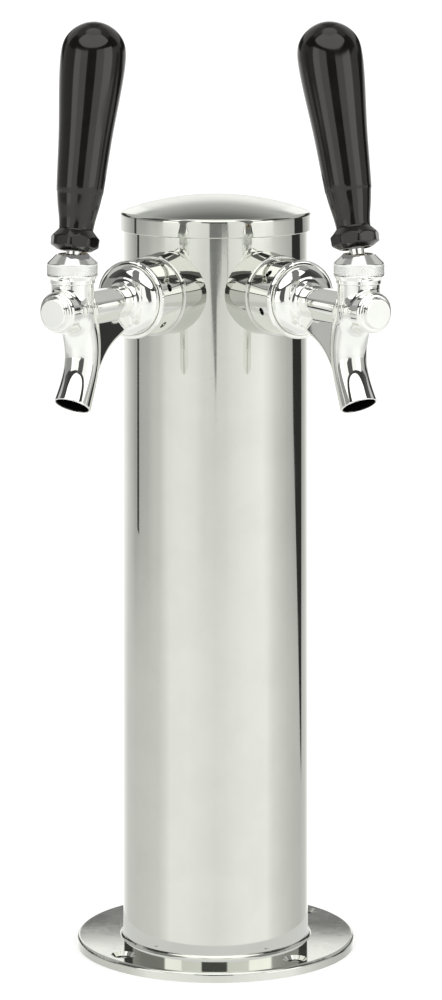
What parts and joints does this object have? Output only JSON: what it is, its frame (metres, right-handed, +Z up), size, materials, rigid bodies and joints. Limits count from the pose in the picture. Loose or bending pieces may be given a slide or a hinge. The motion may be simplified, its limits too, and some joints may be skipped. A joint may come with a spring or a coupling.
{
  "type": "beer tap tower",
  "caption": "Polished round column on a bolted flange, with angled lever faucets, black tapered tap handles and a domed press-on cap.",
  "frame": {"origin": "centre of the base flange's underside, on the counter", "axes": "+Z up the column, -Y to the front between the taps, +X to the right seen from the front"},
  "size_m": [0.1362, 0.1609, 0.3835],
  "materials": {
    "column_stainless": "polished",
    "flange_stainless": "polished",
    "cap_stainless": "polished",
    "chrome_collar": "polished",
    "chrome_nut": "polished",
    "chrome_faucet": "polished",
    "chrome_bonnet": "polished",
    "chrome_lever": "polished",
    "black_handle": "gloss",
    "brass_insert": "satin",
    "brass_shank": "satin",
    "brass_fixings": "satin",
    "stainless_tail": "satin",
    "stainless_valve": "satin",
    "clamp_stainless": "satin",
    "black_rubber": "matte",
    "red_rubber": "matte",
    "white_nylon": "satin",
    "clear_vinyl": "gloss",
    "grey_foam": "matte"
  },
  "bodies": {
    "tower": {"column_tube": "column_stainless", "base_flange": "flange_stainless", "base_gasket": "black_rubber", "top_foam_plug": "grey_foam", "insulation_sleeve": "grey_foam", "left_shank_collar": "chrome_collar", "left_collar_gasket": "black_rubber", "left_shank": "brass_shank", "left_shank_tail": "stainless_tail", "left_backing_saddle": "brass_fixings", "left_shank_locknut": "brass_fixings", "left_coupling_nut": "chrome_nut", "left_coupling_washer": "black_rubber", "left_faucet_body": "chrome_faucet", "left_friction_washer": "white_nylon", "left_bonnet": "chrome_bonnet", "left_beer_line": "clear_vinyl", "left_hose_clamp": "clamp_stainless", "right_shank_collar": "chrome_collar", "right_collar_gasket": "black_rubber", "right_shank": "brass_shank", "right_shank_tail": "stainless_tail", "right_backing_saddle": "brass_fixings", "right_shank_locknut": "brass_fixings", "right_coupling_nut": "chrome_nut", "right_coupling_washer": "black_rubber", "right_faucet_body": "chrome_faucet", "right_friction_washer": "white_nylon", "right_bonnet": "chrome_bonnet", "right_beer_line": "clear_vinyl", "right_hose_clamp": "clamp_stainless"},
    "cap": {"top_cap": "cap_stainless", "cap_grip_ring": "white_nylon"},
    "left_lever": {"left_lever": "chrome_lever", "left_handle": "black_handle", "left_handle_insert": "brass_insert"},
    "left_shaft": {"left_shaft": "stainless_valve", "left_seat_washer": "red_rubber", "left_shaft_nut": "stainless_valve"},
    "right_lever": {"right_lever": "chrome_lever", "right_handle": "black_handle", "right_handle_insert": "brass_insert"},
    "right_shaft": {"right_shaft": "stainless_valve", "right_seat_washer": "red_rubber", "right_shaft_nut": "stainless_valve"}
  },
  "joints": [
    {"name": "cap_lift", "type": "slide", "parent": "tower", "child": "cap", "axis": [0, 0, 1], "range_m": [0, 0.04]},
    {"name": "left_lever_pull", "type": "hinge", "parent": "tower", "child": "left_lever", "pos_m": [-0.0558, -0.0893, 0.288], "axis": [0.848, -0.5299, 0], "range_deg": [0, 27.2]},
    {"name": "left_shaft_slide", "type": "slide", "parent": "tower", "child": "left_shaft", "axis": [0.5299, 0.848, 0], "range_m": [0, 0.00794]},
    {"name": "right_lever_pull", "type": "hinge", "parent": "tower", "child": "right_lever", "pos_m": [0.0558, -0.0893, 0.288], "axis": [0.848, 0.5299, 0], "range_deg": [0, 31]},
    {"name": "right_shaft_slide", "type": "slide", "parent": "tower", "child": "right_shaft", "axis": [-0.5299, 0.848, 0], "range_m": [0, 0.00902]}
  ],
  "couplings": [
    {"joint": "left_shaft_slide", "follows": "left_lever_pull", "m_per_rad": 0.016515},
    {"joint": "right_shaft_slide", "follows": "right_lever_pull", "m_per_rad": 0.016491}
  ]
}
